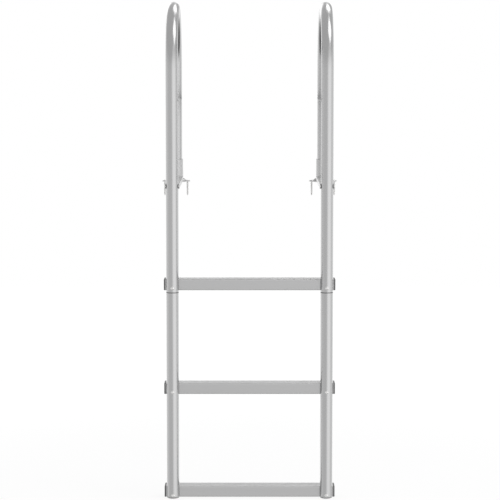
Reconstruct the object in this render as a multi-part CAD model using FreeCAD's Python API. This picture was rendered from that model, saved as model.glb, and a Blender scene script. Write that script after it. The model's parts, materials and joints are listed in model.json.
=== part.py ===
"""Fixed three-step aluminium dock ladder with two looped handrails.

The part stands in its own frame: X to the right as a swimmer in front of the ladder sees it,
Y away from the water towards the dock, Z up. The origin is the centre of the left deck
flange's underside, so the deck surface is z = 0. All lengths are in millimetres.
"""
import FreeCAD, Part
import math
import os

V = FreeCAD.Vector
X_AXIS = V(1, 0, 0)
Y_AXIS = V(0, 1, 0)
Z_AXIS = V(0, 0, 1)

# Rails and handrail hoops
tube_diameter = 36.4
tube_wall = 2.0
rail_spacing = 448.0
hoop_radius = 175.0
hoop_straight_top = 348.4
foot_below_bottom_tread = 2.5

# Splice in each front rail, under the top tread
splice_below_top_tread = 5.7
splice_chamfer = 0.6
sleeve_length = 130.0
sleeve_wall = 2.0
sleeve_clearance = 0.15

# Foot plugs that close the lower rails
plug_rim_height = 6.0
plug_rim_inset = 4.0
plug_bevel_low = 1.2
plug_bevel_high = 4.0
plug_insert_length = 18.0
plug_clearance = 0.2

# Treads
tread_rise = 304.8
tread_count = 3
top_tread_surface = -261.6
tread_depth = 50.8
tread_height = 32.3
tread_end_beyond_rail = 2.2
tread_wall = 2.2
tread_corner = 3.0
tread_web_behind_rail = 4.0
tread_notch_clearance = 0.2
groove_count = 8
groove_width = 1.8
groove_depth = 0.8
groove_margin = 6.0

# End caps of the treads
cap_thickness = 4.7
cap_edge_chamfer = 1.5
cap_insert_length = 8.0
cap_insert_clearance = 0.3

# Deck flanges with the sockets for the back legs
flange_plate = 3.5
flange_middle_radius = 34.5
flange_lobe_radius = 7.5
flange_edge_chamfer = 0.8
lag_spacing = 69.0
lag_hole_radius = 3.5
hub_top = 11.5
hub_foot_radius = 33.0
recess_inner_radius = 16.0
recess_outer_radius = 29.5
recess_slope_radius = 20.0
recess_depth = 6.0
socket_floor = 9.0
socket_top = 69.0
socket_wall = 2.2
socket_clearance = 0.2
socket_draft = 0.5
socket_lip_bevel = 0.8

# Deck struts between the back legs and the front rails
strut_height = 13.0
strut_wall = 2.5
strut_clearance = 0.5
strut_hub_clearance = 0.3
strut_ear_radius = 7.5
tongue_length = 34.0
tongue_clearance = 0.3
tongue_corner = 1.5

# Fasteners
m6_radius = 3.0
m6_hole_radius = 3.2
m6_hex = 10.0
m6_nut_height = 5.0
button_head_radius = 5.2
button_head_height = 2.2
head_rim_share = 0.35
head_flat_share = 0.6
low_head_height = 1.6
thread_end = 1.5
strut_bolt_height = 9.0
barrel_radius = 4.2
barrel_length = 20.0
barrel_head_height = 1.0
barrel_spare_depth = 5.0
barrel_clearance = 0.2
tread_bolt_height = 7.5
retainer_height = 45.0
retainer_head_height = 4.0
retainer_reach = 1.5
retainer_boss_radius = 7.5
retainer_boss_height = 1.0
tongue_screw_inset = 17.0
tongue_screw_depth = 9.0
tongue_screw_head_radius = 5.5
tongue_screw_spare = 0.1
lag_length = 46.0
lag_shank_radius = 3.0
lag_neck_radius = 3.3
lag_tip_length = 6.0
lag_tip_radius = 0.4
lag_head_radius = 5.5
lag_head_height = 1.5
lag_spot_radius = 6.2

# Sizes that follow from the ones above
tube_radius = tube_diameter / 2
tube_bore = tube_radius - tube_wall
rail_y = -2 * hoop_radius
rail_front = rail_y - tube_radius
rail_back = rail_y + tube_radius
centre_x = rail_spacing / 2
tread_half_length = centre_x + tube_radius + tread_end_beyond_rail
tread_tops = [top_tread_surface - i * tread_rise for i in range(tread_count)]
tread_bottoms = [top - tread_height for top in tread_tops]
splice_z = tread_bottoms[0] - splice_below_top_tread
foot_z = tread_bottoms[-1] - foot_below_bottom_tread
rail_end_z = foot_z + plug_rim_height
tread_front = rail_y
tread_back = tread_front + tread_depth
web_front = rail_back + tread_web_behind_rail
socket_bore = tube_radius + socket_clearance
socket_radius = socket_bore + socket_wall
retainer_seat = -(socket_radius + socket_draft + retainer_boss_height)
strut_inner = tube_radius + strut_clearance
strut_outer = strut_inner + strut_wall
strut_bottom = flange_plate
strut_top = strut_bottom + strut_height
tongue_half = strut_inner - tongue_clearance
tongue_top = strut_top - strut_wall - tongue_clearance
tongue_front = -(socket_radius + tongue_length)
tongue_screw_y = tongue_front + tongue_screw_inset
lag_sink = lag_head_radius - lag_neck_radius

SIDES = (("left", 0.0, -1), ("right", rail_spacing, 1))
STEPS = ("upper", "middle", "lower")

os.makedirs("parts", exist_ok=True)


def save(name, shape):
    """Write one piece to its own STEP file."""
    shape.exportStep(os.path.join("parts", name + ".step"))


def rod(radius, start, end):
    """A solid round bar between two points."""
    span = end.sub(start)
    return Part.makeCylinder(radius, span.Length, start, span)


def tube(outer, inner, start, end):
    """A round tube between two points."""
    return rod(outer, start, end).cut(rod(inner, start, end))


def rounded_section(x, y_low, y_high, z_low, z_high, corner):
    """A rectangle with round corners, lying in a plane across X."""
    corners = [(y_low, z_low), (y_high, z_low), (y_high, z_high), (y_low, z_high)]
    inward = [(1, 1), (-1, 1), (-1, -1), (1, -1)]
    edges = []
    ends = []
    for (y, z), (sy, sz) in zip(corners, inward):
        along_y = V(x, y + sy * corner, z)
        along_z = V(x, y, z + sz * corner)
        slack = corner * (1 - math.sqrt(0.5))
        middle = V(x, y + sy * slack, z + sz * slack)
        first, last = (along_z, along_y) if sy == sz else (along_y, along_z)
        edges.append(Part.Arc(first, middle, last).toShape())
        ends.append((first, last))
    sides = []
    for i, (first, last) in enumerate(ends):
        following = ends[(i + 1) % len(ends)][0]
        sides.append(Part.LineSegment(last, following).toShape())
    ordered = [edge for pair in zip(edges, sides) for edge in pair]
    return Part.Face(Part.Wire(ordered))


def hexagon(centre, axis, across_flats, height):
    """A plain six-sided prism that stands on a point and rises along an axis."""
    radius = across_flats / math.sqrt(3)
    side = Z_AXIS if abs(axis.z) < 0.5 else X_AXIS
    other = axis.cross(side)
    points = []
    for i in range(7):
        turn = math.radians(60 * i)
        points.append(centre + side * (radius * math.sin(turn)) + other * (radius * math.cos(turn)))
    return Part.Face(Part.makePolygon(points)).extrude(axis * height)


def button_head(centre, axis, radius, height):
    """A low screw head with a bevelled rim, flat side on the seat."""
    side = Z_AXIS if abs(axis.z) < 0.5 else X_AXIS
    rim = centre + side * radius
    points = [
        centre,
        rim,
        rim + axis * (height * head_rim_share),
        centre + side * (radius * head_flat_share) + axis * height,
        centre + axis * height,
    ]
    return Part.Face(Part.makePolygon(points + points[:1])).revolve(centre, axis, 360)


def chamfered_end(x, z, upward):
    """The ring that bevels the outer edge of a rail end at the splice."""
    sign = 1 if upward else -1
    wide = tube_radius + 1
    slope = splice_chamfer + 1
    profile = [
        V(x + tube_radius - splice_chamfer, rail_y, z),
        V(x + wide, rail_y, z),
        V(x + wide, rail_y, z + sign * slope),
    ]
    return Part.Face(Part.makePolygon(profile + profile[:1])).revolve(V(x, rail_y, z), Z_AXIS, 360)


def upper_rail(x, outward):
    """One bent tube: front rail above the splice, handrail hoop and back leg."""
    arc_centre = V(x, rail_y / 2, hoop_straight_top)
    front = tube(tube_radius, tube_bore, V(x, rail_y, splice_z), V(x, rail_y, hoop_straight_top))
    back = tube(tube_radius, tube_bore, V(x, 0, socket_floor), V(x, 0, hoop_straight_top))
    start = V(x, rail_y, hoop_straight_top)
    ring = Part.Face([
        Part.Wire(Part.makeCircle(tube_radius, start, Z_AXIS)),
        Part.Wire(Part.makeCircle(tube_bore, start, Z_AXIS)),
    ])
    hoop = ring.revolve(arc_centre, V(-1, 0, 0), 180)
    bent = front.fuse([hoop, back]).removeSplitter()
    bent = bent.cut(chamfered_end(x, splice_z, True))
    bent = bent.cut(strut_bolt_hole(x, outward))
    bent = bent.cut(tread_bolt_hole(x, 0))
    leg_front = V(x, -tube_radius - 1, retainer_height)
    return bent.cut(rod(m6_hole_radius, leg_front, V(x, 0, retainer_height)))


def lower_rail(x):
    """The straight tube below the splice."""
    rail = tube(tube_radius, tube_bore, V(x, rail_y, rail_end_z), V(x, rail_y, splice_z))
    rail = rail.cut(chamfered_end(x, splice_z, False))
    for step in range(1, tread_count):
        rail = rail.cut(tread_bolt_hole(x, step))
    return rail


def splice_sleeve(x):
    """The inner tube that joins the two lengths of a front rail."""
    outer = tube_bore - sleeve_clearance
    low = V(x, rail_y, splice_z - sleeve_length / 2)
    high = V(x, rail_y, splice_z + sleeve_length / 2)
    return tube(outer, outer - sleeve_wall, low, high).cut(tread_bolt_hole(x, 0))


def foot_plug(x):
    """The bevelled plug in the open lower end of a rail."""
    insert = tube_bore - plug_clearance
    base = V(x, rail_y, foot_z)
    slack = plug_rim_inset * (1 - math.sqrt(0.5))
    profile = [
        base,
        base + V(tube_radius - plug_rim_inset, 0, 0),
        base + V(tube_radius - slack, 0, plug_bevel_low),
        base + V(tube_radius, 0, plug_bevel_high),
        base + V(tube_radius, 0, plug_rim_height),
        base + V(insert, 0, plug_rim_height),
        base + V(insert, 0, plug_rim_height + plug_insert_length),
        base + V(0, 0, plug_rim_height + plug_insert_length),
    ]
    plug = Part.Face(Part.makePolygon(profile + profile[:1])).revolve(base, Z_AXIS, 360)
    return plug.cut(tread_bolt_hole(x, tread_count - 1))


def tread_bolt_z(step):
    """Height of a tread's two bolts."""
    return tread_bottoms[step] + tread_bolt_height


def tread_bolt_hole(x, step):
    """The hole that a tread's bolt takes through rail, sleeve and tread."""
    z = tread_bolt_z(step)
    return rod(m6_hole_radius, V(x, rail_front - 1, z), V(x, tread_back + 1, z))


def strut_bolt_hole(x, outward):
    """The cross hole through a front rail and its strut's ears, wide inside for the barrel nut."""
    z = strut_bolt_height
    reach = outward * (strut_outer + 1)
    narrow = rod(m6_hole_radius, V(x - reach, rail_y, z), V(x + reach, rail_y, z))
    wide = rod(barrel_radius + barrel_clearance, V(x - reach, rail_y, z), V(x, rail_y, z))
    return narrow.fuse(wide)


def tread(step):
    """A hollow tread with a ribbed top, one inner web and a saddle notch for each rail."""
    top = tread_tops[step]
    bottom = tread_bottoms[step]
    low_x = centre_x - tread_half_length
    length = V(2 * tread_half_length, 0, 0)
    body = rounded_section(low_x, tread_front, tread_back, bottom, top, tread_corner).extrude(length)
    inner_corner = max(tread_corner - tread_wall, 0.5)
    chambers = (
        (tread_front + tread_wall, web_front),
        (web_front + tread_wall, tread_back - tread_wall),
    )
    for y_low, y_high in chambers:
        hollow = rounded_section(low_x, y_low, y_high, bottom + tread_wall, top - tread_wall, inner_corner)
        body = body.cut(hollow.extrude(length))
    pitch = (tread_depth - 2 * groove_margin) / (groove_count - 1)
    for i in range(groove_count):
        y = tread_front + groove_margin + i * pitch - groove_width / 2
        corner = V(low_x, y, top - groove_depth)
        body = body.cut(Part.makeBox(length.x, groove_width, groove_depth + 1, corner))
    for side, x, outward in SIDES:
        notch = rod(tube_radius + tread_notch_clearance, V(x, rail_y, bottom - 1), V(x, rail_y, top + 1))
        body = body.cut(notch).cut(tread_bolt_hole(x, step))
    return body


def tread_cap(step, outward):
    """The moulded plate that closes one end of a tread, with its plug in the rear chamber."""
    top = tread_tops[step]
    bottom = tread_bottoms[step]
    end_x = centre_x + outward * tread_half_length
    section = rounded_section(end_x, tread_front, tread_back, bottom, top, tread_corner)
    plate = section.extrude(V(outward * cap_thickness, 0, 0))
    outer_face_x = end_x + outward * cap_thickness
    rim = [e for e in plate.Edges if all(abs(v.X - outer_face_x) < 0.01 for v in e.Vertexes)]
    plate = plate.makeChamfer(cap_edge_chamfer, rim)
    gap = tread_wall + cap_insert_clearance
    insert_x = end_x - cap_insert_length if outward > 0 else end_x
    insert_depth = tread_back - web_front - 2 * gap
    insert_height = tread_height - 2 * gap
    corner = V(insert_x, web_front + gap, bottom + gap)
    plug = Part.makeBox(cap_insert_length, insert_depth, insert_height, corner)
    return plate.fuse(plug).removeSplitter()


def flange_outline(x):
    """The oval two-hole outline of a deck flange: a middle circle drawn out to two lobes."""
    lobe = lag_spacing / 2
    lean = math.acos((flange_middle_radius - flange_lobe_radius) / lobe)
    c = math.cos(lean)
    s = math.sin(lean)
    middle_r = flange_middle_radius
    lobe_r = flange_lobe_radius

    def on_middle(sx, sy):
        return V(x + sx * middle_r * c, sy * middle_r * s, 0)

    def on_lobe(sx, sy):
        return V(x + sx * (lobe + lobe_r * c), sy * lobe_r * s, 0)

    edges = [
        Part.Arc(on_lobe(1, -1), V(x + lobe + lobe_r, 0, 0), on_lobe(1, 1)).toShape(),
        Part.LineSegment(on_lobe(1, 1), on_middle(1, 1)).toShape(),
        Part.Arc(on_middle(1, 1), V(x, middle_r, 0), on_middle(-1, 1)).toShape(),
        Part.LineSegment(on_middle(-1, 1), on_lobe(-1, 1)).toShape(),
        Part.Arc(on_lobe(-1, 1), V(x - lobe - lobe_r, 0, 0), on_lobe(-1, -1)).toShape(),
        Part.LineSegment(on_lobe(-1, -1), on_middle(-1, -1)).toShape(),
        Part.Arc(on_middle(-1, -1), V(x, -middle_r, 0), on_middle(1, -1)).toShape(),
        Part.LineSegment(on_middle(1, -1), on_lobe(1, -1)).toShape(),
    ]
    return Part.Face(Part.Wire(edges))


def turned(x, radii_and_heights):
    """A solid turned about the upright axis at x, from radius and height pairs."""
    points = [V(x + radius, 0, z) for radius, z in radii_and_heights]
    return Part.Face(Part.makePolygon(points + points[:1])).revolve(V(x, 0, 0), Z_AXIS, 360)


def hub_and_socket(x, spare):
    """The turned body of a deck flange: domed hub and drafted socket, grown by a spare gap."""
    return turned(x, [
        (0, 0),
        (hub_foot_radius + spare, 0),
        (hub_foot_radius + spare, flange_plate),
        (socket_radius + socket_draft + spare, hub_top + spare),
        (socket_radius + spare, socket_top - socket_lip_bevel),
        (socket_radius + spare - socket_lip_bevel, socket_top),
        (0, socket_top),
    ])


def dome_recess(x):
    """The hollow ring under a flange's dome. It leaves a flat pad in the middle."""
    return turned(x, [
        (recess_inner_radius, -1),
        (recess_outer_radius, -1),
        (recess_outer_radius, 0),
        (recess_slope_radius, recess_depth),
        (recess_inner_radius, recess_depth),
    ])


def deck_flange(x):
    """The domed cast foot of a back leg, with a tongue that the deck strut slips over."""
    plate = flange_outline(x).extrude(V(0, 0, flange_plate))
    rim = [e for e in plate.Edges if all(abs(v.Z - flange_plate) < 0.01 for v in e.Vertexes)]
    plate = plate.makeChamfer(flange_edge_chamfer, rim)
    body = plate.fuse(hub_and_socket(x, 0.0)).cut(dome_recess(x))
    tongue = Part.makeBox(2 * tongue_half, -tongue_front, tongue_top, V(x - tongue_half, tongue_front, 0))
    front = [e for e in tongue.Edges if all(abs(v.Y - tongue_front) < 0.01 for v in e.Vertexes)]
    upright = [e for e in front if abs(e.Vertexes[0].Z - e.Vertexes[1].Z) > 1]
    tongue = tongue.makeFillet(tongue_corner, upright)
    boss = rod(retainer_boss_radius, V(x, 0, retainer_height), V(x, retainer_seat, retainer_height))
    body = body.fuse([tongue, boss]).removeSplitter()
    body = body.cut(rod(socket_bore, V(x, 0, socket_floor), V(x, 0, socket_top + 1)))
    for side in (-1, 1):
        lobe_x = x + side * lag_spacing / 2
        seat = V(lobe_x, 0, flange_plate)
        sink = Part.makeCone(lag_head_radius, lag_neck_radius, lag_sink, seat, V(0, 0, -1))
        body = body.cut(rod(lag_spot_radius, seat, V(lobe_x, 0, hub_top)))
        body = body.cut(rod(lag_hole_radius, V(lobe_x, 0, -1), seat)).cut(sink)
    front = V(x, retainer_seat - 1, retainer_height)
    body = body.cut(rod(m6_hole_radius, front, V(x, 0, retainer_height)))
    return body.cut(tongue_screw(x, 0.0))


def on_ear(x, turn):
    """A point on the round outline of a strut's ear."""
    y = rail_y + strut_ear_radius * math.cos(turn)
    z = strut_bolt_height + strut_ear_radius * math.sin(turn)
    return V(x, y, z)


def ear_tangent(y, z, side):
    """The turn at which a line from a point (y, z) touches the ear's round outline."""
    along = y - rail_y
    up = z - strut_bolt_height
    return math.atan2(up, along) + side * math.acos(strut_ear_radius / math.hypot(along, up))


def deck_strut(x, outward):
    """The inverted channel from a deck flange to its front rail, with two round ears."""
    low_x = x - strut_outer
    back = -socket_radius
    neck = rail_back + strut_clearance
    low_turn = ear_tangent(neck, strut_bottom, -1)
    high_turn = ear_tangent(neck, strut_top, 1) - 2 * math.pi
    profile = [
        Part.LineSegment(V(low_x, back, strut_bottom), V(low_x, neck, strut_bottom)).toShape(),
        Part.LineSegment(V(low_x, neck, strut_bottom), on_ear(low_x, low_turn)).toShape(),
        Part.Arc(
            on_ear(low_x, low_turn),
            on_ear(low_x, (low_turn + high_turn) / 2),
            on_ear(low_x, high_turn),
        ).toShape(),
        Part.LineSegment(on_ear(low_x, high_turn), V(low_x, neck, strut_top)).toShape(),
        Part.LineSegment(V(low_x, neck, strut_top), V(low_x, back, strut_top)).toShape(),
        Part.LineSegment(V(low_x, back, strut_top), V(low_x, back, strut_bottom)).toShape(),
    ]
    body = Part.Face(Part.Wire(profile)).extrude(V(2 * strut_outer, 0, 0))
    below = strut_bolt_height - strut_ear_radius - 1
    inside = V(x - strut_inner, rail_front, below)
    inside_height = strut_top - strut_wall - below
    body = body.cut(Part.makeBox(2 * strut_inner, back - rail_front, inside_height, inside))
    body = body.cut(Part.makeBox(2 * strut_inner, tube_radius, strut_top - below, inside))
    body = body.cut(rod(strut_inner, V(x, rail_y, below), V(x, rail_y, strut_top + 1)))
    body = body.cut(hub_and_socket(x, strut_hub_clearance))
    body = body.cut(strut_bolt_hole(x, outward))
    return body.cut(tongue_screw(x, tongue_screw_spare))


def tongue_screw(x, spare):
    """The countersunk screw that holds a strut on its flange's tongue."""
    top = V(x, tongue_screw_y, strut_top)
    sink = tongue_screw_head_radius - m6_radius
    head_r = tongue_screw_head_radius + spare
    shank_r = m6_radius + spare
    profile = [
        top,
        top + V(head_r, 0, 0),
        top + V(shank_r, 0, -sink),
        top + V(shank_r, 0, -tongue_screw_depth),
        top + V(0, 0, -tongue_screw_depth),
    ]
    return Part.Face(Part.makePolygon(profile + profile[:1])).revolve(top, Z_AXIS, 360)


def strut_bolt(x, outward):
    """The cross bolt of a strut, its low head on the outer ear."""
    z = strut_bolt_height
    seat = V(x + outward * strut_outer, rail_y, z)
    end = V(x - outward * (strut_outer - barrel_spare_depth), rail_y, z)
    head = button_head(seat, V(outward, 0, 0), button_head_radius, low_head_height)
    return rod(m6_radius, seat, end).fuse(head).removeSplitter()


def strut_nut(x, outward):
    """The barrel nut of a strut, its low head on the inner ear and its sleeve in the rail."""
    z = strut_bolt_height
    seat = V(x - outward * strut_outer, rail_y, z)
    mouth = seat + V(outward * barrel_length, 0, 0)
    thread_top = seat + V(outward * barrel_spare_depth, 0, 0)
    head = button_head(seat, V(-outward, 0, 0), button_head_radius, barrel_head_height)
    return rod(barrel_radius, seat, mouth).fuse(head).removeSplitter().cut(rod(m6_radius, thread_top, mouth))


def tread_bolt(x, step):
    """The bolt that draws a tread's saddle against its rail, button head in front."""
    z = tread_bolt_z(step)
    seat = V(x, rail_front, z)
    end = V(x, tread_back + m6_nut_height + thread_end, z)
    head = button_head(seat, V(0, -1, 0), button_head_radius, button_head_height)
    return rod(m6_radius, seat, end).fuse(head).removeSplitter()


def tread_nut(x, step):
    """The nut of a tread bolt, on the tread's back face."""
    seat = V(x, tread_back, tread_bolt_z(step))
    nut = hexagon(seat, Y_AXIS, m6_hex, m6_nut_height)
    return nut.cut(rod(m6_radius, seat, seat + Y_AXIS * m6_nut_height))


def leg_retainer(x):
    """The hex screw that keeps a back leg in its socket."""
    seat = V(x, retainer_seat, retainer_height)
    end = V(x, -tube_bore + retainer_reach, retainer_height)
    head = hexagon(seat, V(0, -1, 0), m6_hex, retainer_head_height)
    return rod(m6_radius, seat, end).fuse(head).removeSplitter()


def lag_screw(x):
    """A countersunk wood screw with a low raised head, through a flange lobe into the deck."""
    seat = V(x, 0, flange_plate)
    deck = V(x, 0, 0)
    shoulder = V(x, 0, flange_plate - lag_length + lag_tip_length)
    neck = rod(lag_neck_radius, deck, seat)
    shank = rod(lag_shank_radius, shoulder, deck)
    tip = Part.makeCone(lag_shank_radius, lag_tip_radius, lag_tip_length, shoulder, V(0, 0, -1))
    sink = Part.makeCone(lag_head_radius, lag_neck_radius, lag_sink, seat, V(0, 0, -1))
    head = button_head(seat, Z_AXIS, lag_head_radius, lag_head_height)
    return shank.fuse([neck, tip, sink, head]).removeSplitter()


for step, label in enumerate(STEPS):
    save(label + "_tread", tread(step))

for side, x, outward in SIDES:
    save(side + "_upper_rail", upper_rail(x, outward))
    save(side + "_lower_rail", lower_rail(x))
    save(side + "_splice_sleeve", splice_sleeve(x))
    save(side + "_foot_plug", foot_plug(x))
    save(side + "_deck_flange", deck_flange(x))
    save(side + "_deck_strut", deck_strut(x, outward))
    save(side + "_tongue_screw", tongue_screw(x, 0.0))
    save(side + "_strut_bolt", strut_bolt(x, outward))
    save(side + "_strut_nut", strut_nut(x, outward))
    save(side + "_leg_retainer", leg_retainer(x))
    for place, shift in (("inner", -outward), ("outer", outward)):
        save(side + "_" + place + "_lag_screw", lag_screw(x + shift * lag_spacing / 2))
    for step, label in enumerate(STEPS):
        save(label + "_" + side + "_tread_cap", tread_cap(step, outward))
        save(label + "_" + side + "_tread_bolt", tread_bolt(x, step))
        save(label + "_" + side + "_tread_nut", tread_nut(x, step))
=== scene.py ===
# %% [markdown]
# # A dock ladder, dressed in Blender
#
# The ladder's shape was made in a CAD program and comes in as a fixed frame: forty-five named
# nodes, each in metres, each with its place in its own mesh. This script gives those nodes their
# finishes, swaps the plain screws and end caps for finer ones, and sets up a small white studio
# around them. Nothing that comes from the frame is moved.

# %% Load the frame
import json
import math

import bmesh
import bpy
from mathutils import Matrix, Vector


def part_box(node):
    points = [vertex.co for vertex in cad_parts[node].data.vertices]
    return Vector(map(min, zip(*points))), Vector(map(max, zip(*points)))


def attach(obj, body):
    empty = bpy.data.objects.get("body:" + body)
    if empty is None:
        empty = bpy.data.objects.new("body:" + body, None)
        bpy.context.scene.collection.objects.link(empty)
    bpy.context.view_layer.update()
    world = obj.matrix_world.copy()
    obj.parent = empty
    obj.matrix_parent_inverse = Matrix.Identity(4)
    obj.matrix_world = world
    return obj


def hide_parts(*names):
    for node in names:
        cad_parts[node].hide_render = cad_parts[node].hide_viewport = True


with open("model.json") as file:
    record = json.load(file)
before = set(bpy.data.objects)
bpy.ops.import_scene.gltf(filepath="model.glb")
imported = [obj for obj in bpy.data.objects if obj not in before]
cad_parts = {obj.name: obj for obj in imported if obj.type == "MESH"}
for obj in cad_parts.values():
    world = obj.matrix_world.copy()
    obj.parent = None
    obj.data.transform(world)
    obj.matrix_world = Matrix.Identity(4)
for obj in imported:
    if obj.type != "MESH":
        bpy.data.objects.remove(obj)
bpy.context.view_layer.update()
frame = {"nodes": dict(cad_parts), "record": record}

nodes = frame["nodes"]
print("nodes:", len(nodes))

# %% [markdown]
# ## Measures
#
# A finish often has to know where it is: the dark line of a joint sits at one height, and the
# drawing lines of a bent tube run along the bend. All such places are read from the frame's own
# boxes, so they stay right when the CAD model changes. Only sizes that no box shows are written
# as numbers, in metres.

# %% Measure the tubes, treads and joints
rail_low, rail_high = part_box("left_upper_rail")
right_rail_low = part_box("right_upper_rail")[0]
TUBE_RADIUS = (rail_high.x - rail_low.x) / 2
SPACING = right_rail_low.x - rail_low.x
CENTRE_X = SPACING / 2
HOOP_RADIUS = (rail_high.y - rail_low.y) / 2 - TUBE_RADIUS
HOOP_CENTRE_Y = (rail_high.y + rail_low.y) / 2
HOOP_CENTRE_Z = rail_high.z - HOOP_RADIUS - TUBE_RADIUS
RAIL_Y = rail_low.y + TUBE_RADIUS
SPLICE_Z = rail_low.z
FOOT_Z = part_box("left_foot_plug")[0].z
TREAD_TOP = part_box("upper_tread")[1].z
TREAD_HEIGHT = TREAD_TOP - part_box("upper_tread")[0].z
TREAD_RISE = TREAD_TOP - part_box("middle_tread")[1].z
TREAD_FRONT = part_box("upper_tread")[0].y
SIDES = ("left", "right")
STEPS = ("upper", "middle", "lower")
print("tube radius", round(TUBE_RADIUS, 4), "spacing", round(SPACING, 4))
print("hoop radius", round(HOOP_RADIUS, 4), "tread rise", round(TREAD_RISE, 4))

# %% [markdown]
# ## Camera
#
# The picture was taken from far away with a long lens, a little above the deck, tilted down by a
# few degrees. The lens, height and tilt were worked out from how the treads and tubes shrink with
# distance. Many cameras have a sensor 36 mm wide, and Blender's default is the same. The function
# here puts any new object into the scene, and every later step uses it.

# %% Set the camera
CAMERA_DISTANCE = 6.1083
CAMERA_HEIGHT = 0.4216
CAMERA_TILT = math.radians(5.59)
CAMERA_LENS = 152.45
CAMERA_SHIFT = 0.0008


def add_object(name, data):
    """A new object that is part of the scene."""
    added = bpy.data.objects.new(name, data)
    bpy.context.scene.collection.objects.link(added)
    return added


camera_data = bpy.data.cameras.new("camera")
camera_data.lens = CAMERA_LENS
camera_data.shift_x = CAMERA_SHIFT
camera = add_object("camera", camera_data)
camera.location = (CENTRE_X, RAIL_Y - CAMERA_DISTANCE, CAMERA_HEIGHT)
camera.rotation_euler = (math.pi / 2 - CAMERA_TILT, 0, 0)
bpy.context.scene.camera = camera
print("camera at", tuple(round(v, 3) for v in camera.location))

# %% [markdown]
# ## Arithmetic for node trees
#
# A finish is worked out by nodes. Wiring them by hand hides the formula, so a small class wraps a
# socket and turns Python's own + - * / into Math nodes. Every other node comes from one method,
# `add`, which takes the node's type, its settings and the values or links of its sockets.

# %% Wrap sockets and trees
class Value:
    """A number in a node tree, with arithmetic."""

    def __init__(self, graph, socket):
        self.graph = graph
        self.socket = socket

    def math(self, operation, *terms):
        return self.graph.add("ShaderNodeMath", {"operation": operation}, dict(enumerate(terms)))

    def at_least(self, other):
        return self.math("MAXIMUM", self, other)

    def at_most(self, other):
        return self.math("MINIMUM", self, other)

    def remainder(self, span):
        return self.math("FLOORED_MODULO", self, span)

    def __add__(self, other):
        return self.math("ADD", self, other)

    def __radd__(self, other):
        return self.math("ADD", other, self)

    def __sub__(self, other):
        return self.math("SUBTRACT", self, other)

    def __rsub__(self, other):
        return self.math("SUBTRACT", other, self)

    def __mul__(self, other):
        return self.math("MULTIPLY", self, other)

    def __rmul__(self, other):
        return self.math("MULTIPLY", other, self)

    def __truediv__(self, other):
        return self.math("DIVIDE", self, other)

    def __rtruediv__(self, other):
        return self.math("DIVIDE", other, self)

    def __pow__(self, other):
        return self.math("POWER", self, other)

    def __abs__(self):
        return self.math("ABSOLUTE", self)


class Graph:
    """A node tree that is filled one node at a time."""

    def __init__(self, tree):
        self.tree = tree
        tree.nodes.clear()

    def add(self, kind, settings=None, sockets=None, output=0):
        """A new node. Returns the value of one of its outputs, if it has any."""
        node = self.tree.nodes.new(kind)
        for name, setting in (settings or {}).items():
            setattr(node, name, setting)
        for key, value in (sockets or {}).items():
            if isinstance(value, Value):
                self.tree.links.new(value.socket, node.inputs[key])
            else:
                node.inputs[key].default_value = value
        return Value(self, node.outputs[output]) if node.outputs else None


print("node arithmetic ready")

# %% [markdown]
# ## Building blocks for finishes
#
# Every finish starts from the place on the object, and most of them need the same few things: a
# noise that can be stretched into lines, a smooth step from 0 to 1, a base value with patterns
# added in fixed shares, and a blend of two colours. Places are always read as Object coordinates,
# in metres, because they stay put whatever the camera does.

# %% Define the building blocks
LINE_DETAIL = 4.0
GRAIN_DETAIL = 5.0


def place(graph):
    """The x, y and z of the shaded point, in metres."""
    point = graph.add("ShaderNodeTexCoord", output="Object")
    parts = graph.add("ShaderNodeSeparateXYZ", sockets={0: point}).socket.node.outputs
    return [Value(graph, part) for part in parts]


def noise(graph, x, y, z, size, detail=3.0):
    """Soft random values from 0 to 1, whose blotches are about as wide as size."""
    vector = graph.add("ShaderNodeCombineXYZ", sockets={0: x, 1: y, 2: z})
    sockets = {"Vector": vector, "Scale": 1 / size, "Detail": detail}
    return graph.add("ShaderNodeTexNoise", sockets=sockets)


def step(graph, value, start, end):
    """0 up to start, 1 from end on, and a smooth rise between."""
    settings = {"interpolation_type": "SMOOTHSTEP"}
    return graph.add("ShaderNodeMapRange", settings, {0: value, 1: start, 2: end})


def mix(shares, *patterns):
    """The first share as a base, plus every pattern times the share that belongs to it."""
    total, *weights = shares
    for pattern, weight in zip(patterns, weights):
        total = total + pattern * weight
    return total


def grey(level):
    """A neutral colour."""
    return (level, level, level, 1.0)


def rgb(graph, red, green, blue):
    """A colour from three values."""
    return graph.add("ShaderNodeCombineColor", sockets={0: red, 1: green, 2: blue})


def blend(graph, share, first, second):
    """The first colour where share is 0 and the second where it is 1."""
    sockets = {0: share, 6: first, 7: second}
    return graph.add("ShaderNodeMix", {"data_type": "RGBA"}, sockets, output=2)


def bump(graph, height, depth):
    """A normal that makes height look carved by depth, in metres."""
    sockets = {"Height": height, "Distance": depth, "Strength": 1.0}
    return graph.add("ShaderNodeBump", sockets=sockets)


def new_finish(name):
    """An empty material and the graph of its tree."""
    material = bpy.data.materials.new(name)
    material.use_nodes = True
    return material, Graph(material.node_tree)


def surface(graph, **sockets):
    """The Principled surface that ends a finish."""
    named = {key.replace("_", " ").title(): value for key, value in sockets.items()}
    shader = graph.add("ShaderNodeBsdfPrincipled", sockets=named)
    graph.add("ShaderNodeOutputMaterial", sockets={"Surface": shader})


print("building blocks ready")

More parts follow.
